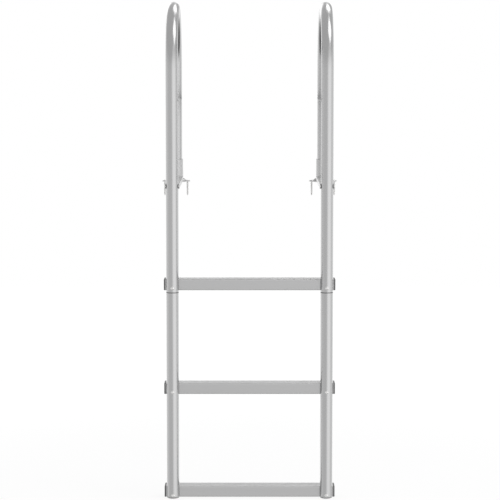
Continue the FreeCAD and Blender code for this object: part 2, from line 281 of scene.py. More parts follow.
# %% [markdown]
# ## The rails: drawn and bent tube
#
# Round aluminium tube is pulled through a ring, which leaves faint lines along it. When the tube
# is bent, the lines bend too, so a plain vertical pattern would be wrong on the hoop. The pattern
# is worked out around the tube instead: `across` is the sideways distance from the tube's axis
# and `outward` the distance along the hoop's radius. One formula holds for both legs and the
# bend, because the distance to the hoop's centre keeps its meaning below the bend when its height
# is held at zero. A noise whose z counts for very little is drawn out into lines. The tuples for
# tone and roughness hold a base and the share of each pattern.
#
# The two lengths of each rail meet at a thin joint. Dirt settles there, so the finish has a dark
# line at that height. Handling leaves cloudy patches that are a little rougher than the rest.

# %% Make the rail finish
RAIL_GREY = 0.47
RAIL_TONE = (0.955, 0.03, 0.03, 0.03)
RAIL_ROUGHNESS = (0.16, 0.06, 0.05, 0.3)
RAIL_LINE_WIDTH = 0.0007
RAIL_LINE_STRETCH = 0.004
RAIL_LINE_DEPTH = 0.000008
RAIL_STREAK_WIDTH = 0.005
RAIL_STREAK_STRETCH = 0.02
RAIL_CLOUD_WIDTH = 0.05
SEAM_HALF = 0.0008
SEAM_EDGE = SEAM_HALF * 1.6
SEAM_GREY = 0.07
COOL_TINT = 1.003


def rail_finish():
    material, graph = new_finish("drawn_tube")
    x, y, z = place(graph)
    across = abs(x - CENTRE_X) - CENTRE_X
    rise = (z - HOOP_CENTRE_Z).at_least(0.0)
    run = y - HOOP_CENTRE_Y
    outward = (run * run + rise * rise) ** 0.5 - HOOP_RADIUS
    along = z * RAIL_LINE_STRETCH
    lines = noise(graph, across, outward, along, RAIL_LINE_WIDTH, LINE_DETAIL)
    streaks = noise(graph, across, outward, z * RAIL_STREAK_STRETCH, RAIL_STREAK_WIDTH)
    clouds = noise(graph, x, y, z, RAIL_CLOUD_WIDTH)
    seam = 1.0 - step(graph, abs(z - SPLICE_Z), SEAM_HALF, SEAM_EDGE)
    tone = RAIL_GREY * mix(RAIL_TONE, lines, streaks, clouds)
    colour = rgb(graph, tone, tone, tone * COOL_TINT)
    surface(
        graph,
        base_color=blend(graph, seam, colour, grey(SEAM_GREY)),
        metallic=1.0,
        roughness=mix(RAIL_ROUGHNESS, clouds, lines, seam),
        normal=bump(graph, lines, RAIL_LINE_DEPTH),
    )
    return material


DRAWN_TUBE = rail_finish()
print("finish:", DRAWN_TUBE.name)

# %% [markdown]
# ## The treads: extruded section
#
# An extruded tread has straight lines along its length, from the die. Its grooved top gets
# polished by feet on the ridges. Its top and bottom edges are lighter, partly from wear and
# partly by painted light that lifts the dark reflection in their rounding. The grooves are darker
# by painted shade, and a little rougher. The treads repeat at one rise, so a remainder gives the
# depth below the nearest tread's top, and one formula serves all three.

# %% Make the tread finish
TREAD_GREY = 0.52
TREAD_TONE = (0.95, 0.03, 0.035, 0.035)
TREAD_ROUGHNESS = (0.33, 0.1, 0.08, -0.06, 0.4)
TREAD_LINE_WIDTH = 0.0008
TREAD_LINE_STRETCH = 0.006
TREAD_LINE_DEPTH = 0.00001
TREAD_STREAK_WIDTH = 0.008
TREAD_STREAK_STRETCH = 0.03
TREAD_CLOUD_WIDTH = 0.06
GROOVE_DEPTH = 0.0008
GROOVE_FLOOR = (GROOVE_DEPTH * 0.35, GROOVE_DEPTH * 0.9)
BELOW_GROOVES = (GROOVE_DEPTH * 1.2, GROOVE_DEPTH * 2.0)
EDGE_DEPTH = 0.003
UPPER_EDGE = (EDGE_DEPTH * 0.7, EDGE_DEPTH * 1.3)
LOWER_EDGE = (TREAD_HEIGHT - EDGE_DEPTH * 1.2, TREAD_HEIGHT - EDGE_DEPTH * 0.6)
# Painted shade in the grooves: how much darker they are made.
GROOVE_SHADE = 0.12
# Lighter edges: partly wear, partly painted light that lifts the dark reflection of their
# rounding.
EDGE_WEAR_AND_LIGHT = 0.09
RIDGE_POLISH = 0.06


def tread_finish():
    material, graph = new_finish("extruded_tread")
    x, y, z = place(graph)
    depth = (TREAD_TOP + GROOVE_DEPTH - z).remainder(TREAD_RISE) - GROOVE_DEPTH
    lines = noise(graph, x * TREAD_LINE_STRETCH, y, z, TREAD_LINE_WIDTH, LINE_DETAIL)
    streaks = noise(graph, x * TREAD_STREAK_STRETCH, y, z, TREAD_STREAK_WIDTH)
    clouds = noise(graph, x, y, z, TREAD_CLOUD_WIDTH)
    in_groove = step(graph, depth, *GROOVE_FLOOR)
    on_top = 1.0 - step(graph, depth, *BELOW_GROOVES)
    # Painted shade: the grooves are darkened, and this mask also makes them rougher.
    groove_shade = in_groove * on_top * GROOVE_SHADE
    polish = on_top * (1.0 - in_groove)
    # Top and bottom edges made lighter: partly wear, partly painted light over the dark
    # reflection of the rounding.
    edge_wear_and_light = 1.0 - step(graph, depth, *UPPER_EDGE) + step(graph, depth, *LOWER_EDGE)
    tone = TREAD_GREY * mix(TREAD_TONE, lines, streaks, clouds)
    tone = tone * (1.0 - groove_shade) + edge_wear_and_light * EDGE_WEAR_AND_LIGHT + polish * RIDGE_POLISH
    surface(
        graph,
        base_color=rgb(graph, tone, tone, tone * COOL_TINT),
        metallic=1.0,
        roughness=mix(TREAD_ROUGHNESS, clouds, lines, polish, groove_shade),
        normal=bump(graph, lines, TREAD_LINE_DEPTH),
    )
    return material


EXTRUDED_TREAD = tread_finish()
print("finish:", EXTRUDED_TREAD.name)

# %% [markdown]
# ## The deck parts: castings and folded sheet
#
# The flanges are cast, so their skin is grainy. The struts are folded from rolled sheet, with
# fine lines along their length. Both are duller than the rails.

# %% Make the cast and sheet finishes
CAST_GREY = 0.56
CAST_TONE = (0.93, 0.06, 0.08)
CAST_ROUGHNESS = (0.36, 0.12, 0.06)
CAST_GRAIN_WIDTH = 0.0009
CAST_GRAIN_DEPTH = 0.00009
CAST_MOTTLE_WIDTH = 0.012
SHEET_GREY = 0.62
SHEET_TONE = (0.95, 0.04, 0.05)
SHEET_ROUGHNESS = (0.3, 0.08, 0.08)
SHEET_LINE_WIDTH = 0.0006
SHEET_LINE_STRETCH = 0.01
SHEET_LINE_DEPTH = 0.000009
SHEET_CLOUD_WIDTH = 0.03


def cast_finish():
    material, graph = new_finish("cast_flange")
    x, y, z = place(graph)
    grain = noise(graph, x, y, z, CAST_GRAIN_WIDTH, GRAIN_DETAIL)
    mottle = noise(graph, x, y, z, CAST_MOTTLE_WIDTH)
    tone = CAST_GREY * mix(CAST_TONE, grain, mottle)
    surface(
        graph,
        base_color=rgb(graph, tone, tone, tone),
        metallic=1.0,
        roughness=mix(CAST_ROUGHNESS, grain, mottle),
        normal=bump(graph, grain, CAST_GRAIN_DEPTH),
    )
    return material


def sheet_finish():
    material, graph = new_finish("folded_strut")
    x, y, z = place(graph)
    lines = noise(graph, x, y * SHEET_LINE_STRETCH, z, SHEET_LINE_WIDTH, LINE_DETAIL)
    clouds = noise(graph, x, y, z, SHEET_CLOUD_WIDTH)
    tone = SHEET_GREY * mix(SHEET_TONE, lines, clouds)
    surface(
        graph,
        base_color=rgb(graph, tone, tone, tone),
        metallic=1.0,
        roughness=mix(SHEET_ROUGHNESS, lines, clouds),
        normal=bump(graph, lines, SHEET_LINE_DEPTH),
    )
    return material


CAST_FLANGE = cast_finish()
FOLDED_STRUT = sheet_finish()
print("finishes:", CAST_FLANGE.name, FOLDED_STRUT.name)

# %% [markdown]
# ## Screws and plastics
#
# Stainless screws are bright but not mirrors: tumbling leaves a fine speckle. The end caps are
# dark moulded plastic with a fine matt grain, and the plugs in the feet are a smoother grey one.

# %% Make the screw and plastic finishes
SCREW_GREY = 0.76
SCREW_TONE = (0.93, 0.14)
SCREW_ROUGHNESS = (0.26, 0.12)
SPECKLE_WIDTH = 0.0004
SPECKLE_DEPTH = 0.000012
WARM_RED = 1.005
WARM_BLUE = 0.99
PLASTIC_TONE = (0.92, 0.08, 0.08)
PLASTIC_GRAIN_ROUGHNESS = 0.14
PLASTIC_CLOUD_WIDTH = 0.02


def screw_finish():
    material, graph = new_finish("stainless_screw")
    x, y, z = place(graph)
    speckle = noise(graph, x, y, z, SPECKLE_WIDTH, LINE_DETAIL)
    tone = SCREW_GREY * mix(SCREW_TONE, speckle)
    surface(
        graph,
        base_color=rgb(graph, tone * WARM_RED, tone, tone * WARM_BLUE),
        metallic=1.0,
        roughness=mix(SCREW_ROUGHNESS, speckle),
        normal=bump(graph, speckle, SPECKLE_DEPTH),
    )
    return material


def plastic_finish(name, level, width, depth, roughness):
    """A plastic of one grey level, with a grain of some width and depth."""
    material, graph = new_finish(name)
    x, y, z = place(graph)
    grain = noise(graph, x, y, z, width, GRAIN_DETAIL)
    clouds = noise(graph, x, y, z, PLASTIC_CLOUD_WIDTH)
    tone = level * mix(PLASTIC_TONE, grain, clouds)
    surface(
        graph,
        base_color=rgb(graph, tone, tone, tone),
        roughness=mix((roughness, PLASTIC_GRAIN_ROUGHNESS), grain),
        normal=bump(graph, grain, depth),
    )
    return material


STAINLESS_SCREW = screw_finish()
CAP_PLASTIC = plastic_finish(
    "moulded_cap", level=0.14, width=0.0006, depth=0.00006, roughness=0.5
)
PLUG_PLASTIC = plastic_finish(
    "moulded_plug", level=0.43, width=0.0009, depth=0.00003, roughness=0.38
)
print("finishes:", STAINLESS_SCREW.name, CAP_PLASTIC.name, PLUG_PLASTIC.name)

# %% [markdown]
# ## Give every node its finish
#
# A node that comes from the frame keeps its mesh. Only the material in its slots changes, by the
# record's own slot names.

# %% Paint the frame's nodes
FINISHES = {
    "rail_aluminium": DRAWN_TUBE,
    "tread_aluminium": EXTRUDED_TREAD,
    "strut_aluminium": FOLDED_STRUT,
    "cast_aluminium": CAST_FLANGE,
    "stainless_fastener": STAINLESS_SCREW,
    "cap_plastic": CAP_PLASTIC,
    "plug_plastic": PLUG_PLASTIC,
}
for part in frame["record"]["subparts"]:
    node = nodes[part["node"]]
    for material_slot in node.material_slots:
        material_slot.material = FINISHES[part["material_slot"]]

# %% [markdown]
# ## Turned shapes
#
# Screw heads and nuts are made as rings of points, stacked along an axis and joined by faces. A
# ring may be round or six-sided, and its height may follow its radius, which gives the curved
# corner of a chamfered nut. Every ring has the same number of points, so any two can be joined.

# %% Define rings and skins
RING_POINTS = 36
RING_TURNS = [2 * math.pi * i / RING_POINTS for i in range(RING_POINTS)]
HALF_SIDE = math.pi / 6
EDGE_ANGLE = 35
FINE_EDGE_ANGLE = 25
CAP_EDGE_ANGLE = 50


def ring(radius, height):
    """A level, round ring of points."""
    return [Vector((radius * math.cos(a), radius * math.sin(a), height)) for a in RING_TURNS]


def hex_ring(flats, height, slope=0.0):
    """A six-sided ring. With a slope, its corners drop away as a chamfer cuts them."""
    points = []
    for turn in RING_TURNS:
        off = (turn + HALF_SIDE) % (2 * HALF_SIDE) - HALF_SIDE
        radius = flats / 2 / math.cos(off)
        drop = slope * (radius - flats / 2)
        points.append(Vector((radius * math.cos(turn), radius * math.sin(turn), height - drop)))
    return points


def skin(name, rings, closed=False):
    """A mesh over stacked rings, closed by flat ends or joined into a loop."""
    mesh = bpy.data.meshes.new(name)
    form = bmesh.new()
    rows = [[form.verts.new(point) for point in points] for points in rings]
    following = rows[1:] + rows[:1] if closed else rows[1:]
    count = len(rows[0])
    for low, high in zip(rows, following):
        for i in range(count):
            j = (i + 1) % count
            form.faces.new((low[i], low[j], high[j], high[i]))
    if not closed:
        form.faces.new(list(reversed(rows[0])))
        form.faces.new(rows[-1])
    bmesh.ops.recalc_face_normals(form, faces=form.faces)
    form.to_mesh(mesh)
    form.free()
    return mesh


def shade(mesh, angle=EDGE_ANGLE):
    """Smooth shading that keeps edges sharper than an angle in degrees."""
    form = bmesh.new()
    form.from_mesh(mesh)
    for face in form.faces:
        face.smooth = True
    for edge in form.edges:
        edge.smooth = len(edge.link_faces) == 2 and edge.calc_face_angle() < math.radians(angle)
    form.to_mesh(mesh)
    form.free()
    return mesh


def join(name, meshes):
    """One mesh from several."""
    form = bmesh.new()
    for mesh in meshes:
        form.from_mesh(mesh)
    joined = bpy.data.meshes.new(name)
    form.to_mesh(joined)
    form.free()
    return joined


print("ring points:", RING_POINTS)

# %% [markdown]
# ## Threads by Geometry Nodes
#
# A screw thread is a ridge that climbs around a shank, so it suits a tree of nodes: a Spiral
# gives the path, a small kite is swept along it, and named inputs set the radius, the pitch and
# the length. The same tree makes the coarse thread of a wood screw and the fine one of a bolt.

# %% Build the thread tree
KITE_SHARE = 0.9
THREAD_RESOLUTION = 20


def new_tree(name, inputs):
    """A Geometry Nodes tree with named inputs. Returns its graph, inputs and identifiers."""
    tree = bpy.data.node_groups.new(name, "GeometryNodeTree")
    sockets = tree.interface
    sockets.new_socket("Geometry", in_out="INPUT", socket_type="NodeSocketGeometry")
    identifiers = {}
    for label, kind in inputs:
        item = sockets.new_socket(label, in_out="INPUT", socket_type=kind)
        identifiers[label] = item.identifier
    sockets.new_socket("Geometry", in_out="OUTPUT", socket_type="NodeSocketGeometry")
    graph = Graph(tree)
    group = graph.add("NodeGroupInput").socket.node
    given = {socket.name: Value(graph, socket) for socket in group.outputs if socket.name}
    return graph, given, identifiers


def end_tree(graph, geometry, finish):
    """End a tree: make its copies real, paint them and hand them on."""
    real = graph.add("GeometryNodeRealizeInstances", sockets={"Geometry": geometry})
    painted = graph.add("GeometryNodeSetMaterial", sockets={"Geometry": real, "Material": finish})
    end = graph.tree.nodes.new("NodeGroupOutput")
    graph.tree.links.new(painted.socket, end.inputs["Geometry"])


def build_thread_tree():
    graph, given, identifiers = new_tree("screw_thread", [
        ("Start radius", "NodeSocketFloat"),
        ("End radius", "NodeSocketFloat"),
        ("Ridge", "NodeSocketFloat"),
        ("Pitch", "NodeSocketFloat"),
        ("Length", "NodeSocketFloat"),
        ("Finish", "NodeSocketMaterial"),
    ])
    path = graph.add("GeometryNodeCurveSpiral", sockets={
        "Resolution": THREAD_RESOLUTION,
        "Rotations": given["Length"] / given["Pitch"],
        "Start Radius": given["Start radius"],
        "End Radius": given["End radius"],
        "Height": given["Length"],
    })
    upright = graph.add("GeometryNodeSetCurveNormal", {"mode": "Z_UP"}, {"Curve": path})
    kite = graph.add("GeometryNodeCurvePrimitiveQuadrilateral", {"mode": "KITE"}, {
        "Width": given["Pitch"] * KITE_SHARE,
        "Bottom Height": given["Ridge"],
        "Top Height": given["Ridge"],
    })
    swept = graph.add("GeometryNodeCurveToMesh", sockets={
        "Curve": upright,
        "Profile Curve": kite,
        "Fill Caps": True,
    })
    end_tree(graph, swept, given["Finish"])
    return graph.tree, identifiers


THREAD_TREE, THREAD_INPUTS = build_thread_tree()
print("tree:", THREAD_TREE.name, "inputs:", ", ".join(THREAD_INPUTS))

# %% [markdown]
# ## Running a tree
#
# A tree is run by a modifier. Its inputs are set by the sockets' identifiers before the object is
# first looked at, and then the result is copied into a plain mesh, because an export drops
# modifiers that make instances.

# %% Run a tree into a plain mesh
def grow(name, tree, identifiers, values, mesh=None):
    """Run a tree on a mesh and return its result as a plain mesh."""
    holder = add_object(name, mesh or bpy.data.meshes.new(name))
    modifier = holder.modifiers.new("tree", "NODES")
    modifier.node_group = tree
    for label, value in values.items():
        modifier[identifiers[label]] = value
    bpy.context.view_layer.update()
    view = bpy.context.evaluated_depsgraph_get()
    grown = bpy.data.meshes.new_from_object(holder.evaluated_get(view))
    bpy.data.objects.remove(holder)
    grown.name = name
    return grown


def thread(start_z, length, radius, end_radius, ridge, pitch):
    """A thread that climbs from start_z, on the axis of a template."""
    mesh = grow("thread", THREAD_TREE, THREAD_INPUTS, {
        "Start radius": radius,
        "End radius": end_radius,
        "Ridge": ridge,
        "Pitch": pitch,
        "Length": length,
        "Finish": STAINLESS_SCREW,
    })
    mesh.transform(Matrix.Translation((0, 0, start_z)))
    return mesh


print("a tree runs through a modifier with", len(THREAD_INPUTS), "inputs")

# %% [markdown]
# ## Copies of a fastener
#
# The ladder has six tread bolts, six nuts, four wood screws and a few more, all alike within
# their kind. Each kind is modelled once, standing on the origin with its head up, and a second
# tree puts a copy on every seat. A seat is a point with an attribute, `turn`, that says how the
# copy is turned.

# %% Build the copying tree
QUARTER = math.pi / 2
HEAD_UP = (0.0, 0.0, 0.0)
HEAD_FRONT = (QUARTER, 0.0, 0.0)
HEAD_BACK = (-QUARTER, 0.0, 0.0)
HEAD_RIGHT = (0.0, QUARTER, 0.0)
HEAD_LEFT = (0.0, -QUARTER, 0.0)


def build_copy_tree():
    graph, given, identifiers = new_tree("copies_on_seats", [
        ("Template", "NodeSocketObject"),
        ("Finish", "NodeSocketMaterial"),
    ])
    template = graph.add(
        "GeometryNodeObjectInfo",
        {"transform_space": "ORIGINAL"},
        {"Object": given["Template"], "As Instance": True},
        output="Geometry",
    )
    settings = {"data_type": "FLOAT_VECTOR"}
    turn = graph.add("GeometryNodeInputNamedAttribute", settings, {"Name": "turn"})
    copies = graph.add("GeometryNodeInstanceOnPoints", sockets={
        "Points": given["Geometry"],
        "Instance": template,
        "Rotation": turn,
    })
    end_tree(graph, copies, given["Finish"])
    return graph.tree, identifiers


def fit_copies(name, template_mesh, seats, replaced, slot="stainless_fastener"):
    """Put a copy of a template on every seat, as one piece that stands for the replaced nodes."""
    template = add_object(name + "_template", template_mesh)
    points = bpy.data.meshes.new(name + "_seats")
    points.from_pydata([seat for seat, turn in seats], [], [])
    turns = points.attributes.new("turn", "FLOAT_VECTOR", "POINT")
    for item, (seat, turn) in zip(turns.data, seats):
        item.vector = turn
    values = {"Template": template, "Finish": FINISHES[slot]}
    mesh = grow(name, COPY_TREE, COPY_INPUTS, values, points)
    bpy.data.objects.remove(template)
    piece = add_object(name, mesh)
    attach(piece, "root")
    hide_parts(*replaced)
    print(name, "copies:", len(seats), "faces:", len(mesh.polygons))


def middle(node):
    """The middle of a node's box."""
    low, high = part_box(node)
    return (low + high) / 2


COPY_TREE, COPY_INPUTS = build_copy_tree()
print("tree:", COPY_TREE.name, "inputs:", ", ".join(COPY_INPUTS))

# %% [markdown]
# ## Screw and nut shapes
#
# All metric screws here are M6. The button head is a cap of a sphere with a six-sided socket for
# a key. The hexagon heads and nuts have the curved corners that a chamfer cuts. Where a thread
# shows, the shank is drawn thinner by the ridge, so the finished thread has the shank's own
# diameter.

# %% Model one of each kind
M6_RADIUS = 0.003
M6_RIDGE = 0.0004
M6_CORE = M6_RADIUS - M6_RIDGE
M6_PITCH = 0.001
TIP_RADIUS = M6_CORE * 0.8
TIP_CHAMFER = 0.0005
RIDGE_START = 0.0006
RIDGE_TRIM = 0.0008
THREAD_RUN = 0.012
HEX_FLATS = 0.010
HEX_CHAMFER = 0.5
HEX_FACE = 0.00475
HEX_UNDERSIDE = -HEX_CHAMFER * 0.2
HEX_THREAD_SHARE = 0.7
KEY_FLATS = 0.004
KEY_CHAMFER = 0.0001
KEY_DEPTH = 0.0011
KEY_CONE_RADIUS = KEY_FLATS * 0.2
KEY_CONE_DEPTH = 0.0002
BUTTON_RADIUS = 0.0052
BUTTON_EDGE = 0.25
BUTTON_RINGS = (0.96, 0.88, 0.76, 0.62, 0.5)
BARREL_RADIUS = 0.0042
BARREL_BLIND = 0.005
BARREL_MOUTH = 0.0004
BARREL_CHAMFER = 0.0003
NUT_SHOULDER = 0.72
COLLAR_RADIUS = HEX_FLATS * 0.44
COLLAR_ROUND = 0.0006
COLLAR_BEVEL = 0.0002
COLLAR_MOUTH = 0.0003


def key_socket(top, depth):
    """Rings of a six-sided socket for a key, from its rim down to a shallow cone."""
    floor = top - depth
    return [
        hex_ring(KEY_FLATS + 2 * KEY_CHAMFER, top),
        hex_ring(KEY_FLATS, top - KEY_CHAMFER),
        hex_ring(KEY_FLATS, floor),
        ring(KEY_CONE_RADIUS, floor - KEY_CONE_DEPTH),
    ]


def m6_thread(length, run):
    """The ridge on a threaded run at the end of an M6 screw."""
    start = RIDGE_START - length
    return thread(start, run - RIDGE_TRIM, M6_CORE, M6_CORE, M6_RIDGE, M6_PITCH)


def threaded_shank(length, run):
    """Rings of a shank that ends in a thread, from its end up to the seat, and the thread."""
    rings = [
        ring(TIP_RADIUS, -length),
        ring(M6_CORE, -length + TIP_CHAMFER),
        ring(M6_CORE, -length + run),
        ring(M6_RADIUS, -length + run + M6_RIDGE),
        ring(M6_RADIUS, 0.0),
    ]
    return rings, m6_thread(length, run)


def dome(radius, height):
    """Rings of a button head with a six-sided socket."""
    edge = height * BUTTON_EDGE
    swell = height - edge
    sphere = (radius ** 2 + swell ** 2) / (2 * swell)

    def top(r):
        return height - sphere + math.sqrt(sphere ** 2 - r ** 2)

    rings = [ring(radius, 0.0), ring(radius, edge)]
    rings += [ring(radius * share, top(radius * share)) for share in BUTTON_RINGS]
    return rings + key_socket(top(KEY_FLATS / 2), KEY_DEPTH)


def button_screw(length, head_height):
    shank, ridge = threaded_shank(length, THREAD_RUN)
    body = shade(skin("button_screw", shank + dome(BUTTON_RADIUS, head_height)))
    return join("button_screw", [body, ridge])


def hex_head(height):
    """Rings of a hexagon head from its seat up."""
    return [
        ring(HEX_FACE, 0.0),
        hex_ring(HEX_FLATS, 0.0, HEX_UNDERSIDE),
        hex_ring(HEX_FLATS, height, HEX_CHAMFER),
        ring(HEX_FACE, height),
    ]


def hex_screw(length, head_height):
    shank, ridge = threaded_shank(length, length * HEX_THREAD_SHARE)
    body = shade(skin("hex_screw", shank + hex_head(head_height)), FINE_EDGE_ANGLE)
    return join("hex_screw", [body, ridge])


def barrel_nut(length, head_height):
    """A nut like a sleeve, with a low head, that takes a bolt from its open end."""
    rings = [
        ring(M6_RADIUS, -BARREL_BLIND),
        ring(M6_RADIUS, -length + BARREL_MOUTH),
        ring(M6_RADIUS + BARREL_MOUTH, -length),
        ring(BARREL_RADIUS - BARREL_CHAMFER, -length),
        ring(BARREL_RADIUS, -length + BARREL_CHAMFER),
        ring(BARREL_RADIUS, 0.0),
    ]
    return shade(skin("barrel_nut", rings + dome(BUTTON_RADIUS, head_height)))


def lock_nut(height):
    """A nut whose round collar holds a locking ring."""
    shoulder = height * NUT_SHOULDER
    rings = [
        ring(M6_RADIUS, 0.0),
        ring(HEX_FACE, 0.0),
        hex_ring(HEX_FLATS, 0.0, -HEX_CHAMFER),
        hex_ring(HEX_FLATS, shoulder, HEX_CHAMFER),
        ring(HEX_FACE, shoulder),
        ring(COLLAR_RADIUS, shoulder),
        ring(COLLAR_RADIUS, height - COLLAR_ROUND),
        ring(COLLAR_RADIUS - COLLAR_BEVEL, height - COLLAR_BEVEL),
        ring(COLLAR_RADIUS - COLLAR_ROUND, height),
        ring(M6_RADIUS + COLLAR_MOUTH, height),
        ring(M6_RADIUS, height - COLLAR_ROUND),
    ]
    return shade(skin("lock_nut", rings, closed=True), FINE_EDGE_ANGLE)


print("key socket:", KEY_FLATS * 1000, "mm across")

# %% [markdown]
# ## Bolts and nuts of the treads and struts
#
# Each tread is drawn against its two rails by bolts from the front, with lock nuts behind. Each
# strut has one bolt across its front rail. Its low head sits outside, and it ends in a barrel nut
# that has a low head of its own inside.

# %% Fit bolts and nuts
def fit_tread_fasteners():
    labels = [f"{level}_{side}_tread" for level in STEPS for side in SIDES]
    bolts = [label + "_bolt" for label in labels]
    nuts = [label + "_nut" for label in labels]
    head_low, bolt_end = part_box(bolts[0])
    rail_front = RAIL_Y - TUBE_RADIUS
    seats = [((middle(bolt).x, rail_front, middle(bolt).z), HEAD_FRONT) for bolt in bolts]
    mesh = button_screw(bolt_end.y - rail_front, rail_front - head_low.y)
    fit_copies("tread_bolts", mesh, seats, bolts)
    nut_low, nut_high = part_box(nuts[0])
    seats = [((middle(nut).x, nut_low.y, middle(nut).z), HEAD_BACK) for nut in nuts]
    mesh = lock_nut(nut_high.y - nut_low.y)
    fit_copies("tread_nuts", mesh, seats, nuts)


def fit_strut_fasteners():
    strut_low, strut_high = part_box("left_deck_strut")
    half = (strut_high.x - strut_low.x) / 2
    bolt_low, bolt_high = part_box("left_strut_bolt")
    axis_z = middle("left_strut_bolt").z
    bolts = ["left_strut_bolt", "right_strut_bolt"]
    seats = [((-half, RAIL_Y, axis_z), HEAD_LEFT), ((SPACING + half, RAIL_Y, axis_z), HEAD_RIGHT)]
    mesh = button_screw(bolt_high.x + half, -half - bolt_low.x)
    fit_copies("strut_bolts", mesh, seats, bolts)
    nuts = ["left_strut_nut", "right_strut_nut"]
    nut_low, nut_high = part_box(nuts[0])
    seats = [((half, RAIL_Y, axis_z), HEAD_RIGHT), ((SPACING - half, RAIL_Y, axis_z), HEAD_LEFT)]
    mesh = barrel_nut(half - nut_low.x, nut_high.x - half)
    fit_copies("strut_nuts", mesh, seats, nuts)


fit_tread_fasteners()
fit_strut_fasteners()

# %% [markdown]
# ## Screws of the deck flanges
#
# A small hexagon screw keeps each back leg in its socket, and a flat-headed one holds each strut
# on its tongue. The four wood screws sink into the flanges' lobes. Their coarse thread starts
# just under the deck's surface and tapers with the point, so the tree runs twice: once at full
# width and once to a point.

# %% Fit retainers, flat screws and wood screws
RETAINER_HEAD = 0.004
FLAT_RUN_OUT = 0.0006
FLAT_EDGE = 0.0001
FLAT_KEY_DEPTH = 0.0018
LAG_CORE = 0.0024
LAG_RIDGE = 0.0006
LAG_PITCH = 0.0027
LAG_HEAD = 0.0015
LAG_NECK = 0.0033
LAG_TIP = 0.006
LAG_TIP_SHARE = 0.92
LAG_TIP_BLEND = 0.001
LAG_POINT_RADIUS = 0.0002
LAG_SHANK_START = 0.002
LAG_SHANK_FULL = 0.0004
LAG_BARE = 0.003
POINT_RIDGE = LAG_RIDGE * 0.7
POINT_RIDGE_START = 0.0008
POINT_RIDGE_RADIUS = 0.0004


def flat_screw(length, head_radius):
    """A countersunk screw whose flat top lies at the origin."""
    sink = head_radius - M6_RADIUS
    rings = [
        ring(TIP_RADIUS, -length),
        ring(M6_CORE, -length + TIP_CHAMFER),
        ring(M6_CORE, -sink - FLAT_RUN_OUT),
        ring(M6_RADIUS, -sink),
        ring(head_radius, -FLAT_EDGE),
        ring(head_radius - FLAT_EDGE, 0.0),
    ]
    body = shade(skin("flat_screw", rings + key_socket(0.0, FLAT_KEY_DEPTH)))
    return join("flat_screw", [body, m6_thread(length, length - sink - FLAT_RUN_OUT)])


def wood_screw(length, head_radius, head_height, neck, neck_radius):
    """A countersunk wood screw with a low raised head, whose rim lies at the origin's height."""
    rings = [
        ring(LAG_POINT_RADIUS, -length),
        ring(LAG_CORE * LAG_TIP_SHARE, -length + LAG_TIP),
        ring(LAG_CORE, -length + LAG_TIP + LAG_TIP_BLEND),
        ring(LAG_CORE, -neck - LAG_SHANK_START),
        ring(M6_RADIUS, -neck - LAG_SHANK_FULL),
        ring(M6_RADIUS, -neck),
        ring(neck_radius, -neck),
        ring(neck_radius, neck_radius - head_radius),
    ]
    body = shade(skin("wood_screw", rings + dome(head_radius, head_height)), FINE_EDGE_ANGLE)
    run = length - LAG_TIP - neck - LAG_BARE
    full = thread(-length + LAG_TIP, run, LAG_CORE, LAG_CORE, LAG_RIDGE, LAG_PITCH)
    start = POINT_RIDGE_START - length
    run = LAG_TIP - POINT_RIDGE_START
    point = thread(start, run, POINT_RIDGE_RADIUS, LAG_CORE, POINT_RIDGE, LAG_PITCH)
    return join("wood_screw", [body, full, point])


def fit_flange_screws():
    retainers = ["left_leg_retainer", "right_leg_retainer"]
    head_front, shank_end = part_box(retainers[0])
    seat_y = head_front.y + RETAINER_HEAD
    seats = [((middle(node).x, seat_y, middle(node).z), HEAD_FRONT) for node in retainers]
    mesh = hex_screw(shank_end.y - seat_y, RETAINER_HEAD)
    fit_copies("leg_retainers", mesh, seats, retainers)

    flats = ["left_tongue_screw", "right_tongue_screw"]
    low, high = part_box(flats[0])
    seats = [((middle(node).x, middle(node).y, high.z), HEAD_UP) for node in flats]
    mesh = flat_screw(high.z - low.z, (high.x - low.x) / 2)
    fit_copies("tongue_screws", mesh, seats, flats)

    lags = [f"{side}_{spot}_lag_screw" for side in SIDES for spot in ("inner", "outer")]
    low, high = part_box(lags[0])
    flange_top = high.z - LAG_HEAD
    seats = [((middle(node).x, middle(node).y, flange_top), HEAD_UP) for node in lags]
    head_radius = (high.x - low.x) / 2
    mesh = wood_screw(flange_top - low.z, head_radius, LAG_HEAD, flange_top, LAG_NECK)
    fit_copies("wood_screws", mesh, seats, lags)


fit_flange_screws()

# %% [markdown]
# ## Moulded end caps
#
# A moulded cap has no sharp edges. Each one is lofted through rounded rectangles: first the plug
# that goes into the tread, then the plate with the tread's own outline, then the soft outer edge.
# All outlines have the same number of points, so they join as the rings of a screw do.

# %% Model the end caps
CAP_PLATE = 0.0047
CAP_WALL = 0.0025
CAP_ROUND = 0.0015
ROUND_ROWS = 6
ROUND_SHARE = 0.9
PLUG_FRONT = TREAD_FRONT + 0.0240
PLUG_CORNER = 0.0008
PLUG_LEAD = 0.0005
PLUG_LEAD_CORNER = 0.0004
CORNER_POINTS = 8
TREAD_CORNER = 0.003


def shrunk(sides, inset):
    """The sides of a rectangle, each moved inward."""
    y_low, y_high, z_low, z_high = sides
    return (y_low + inset, y_high - inset, z_low + inset, z_high - inset)


def rounded_outline(x, sides, corner):
    """A rectangle with round corners in a plane across x."""
    points = []
    y_low, y_high, z_low, z_high = shrunk(sides, corner)
    centres = [(y_high, z_high), (y_low, z_high), (y_low, z_low), (y_high, z_low)]
    for quarter, (y, z) in enumerate(centres):
        for i in range(CORNER_POINTS + 1):
            turn = QUARTER * (quarter + i / CORNER_POINTS)
            points.append(Vector((x, y + corner * math.cos(turn), z + corner * math.sin(turn))))
    return points


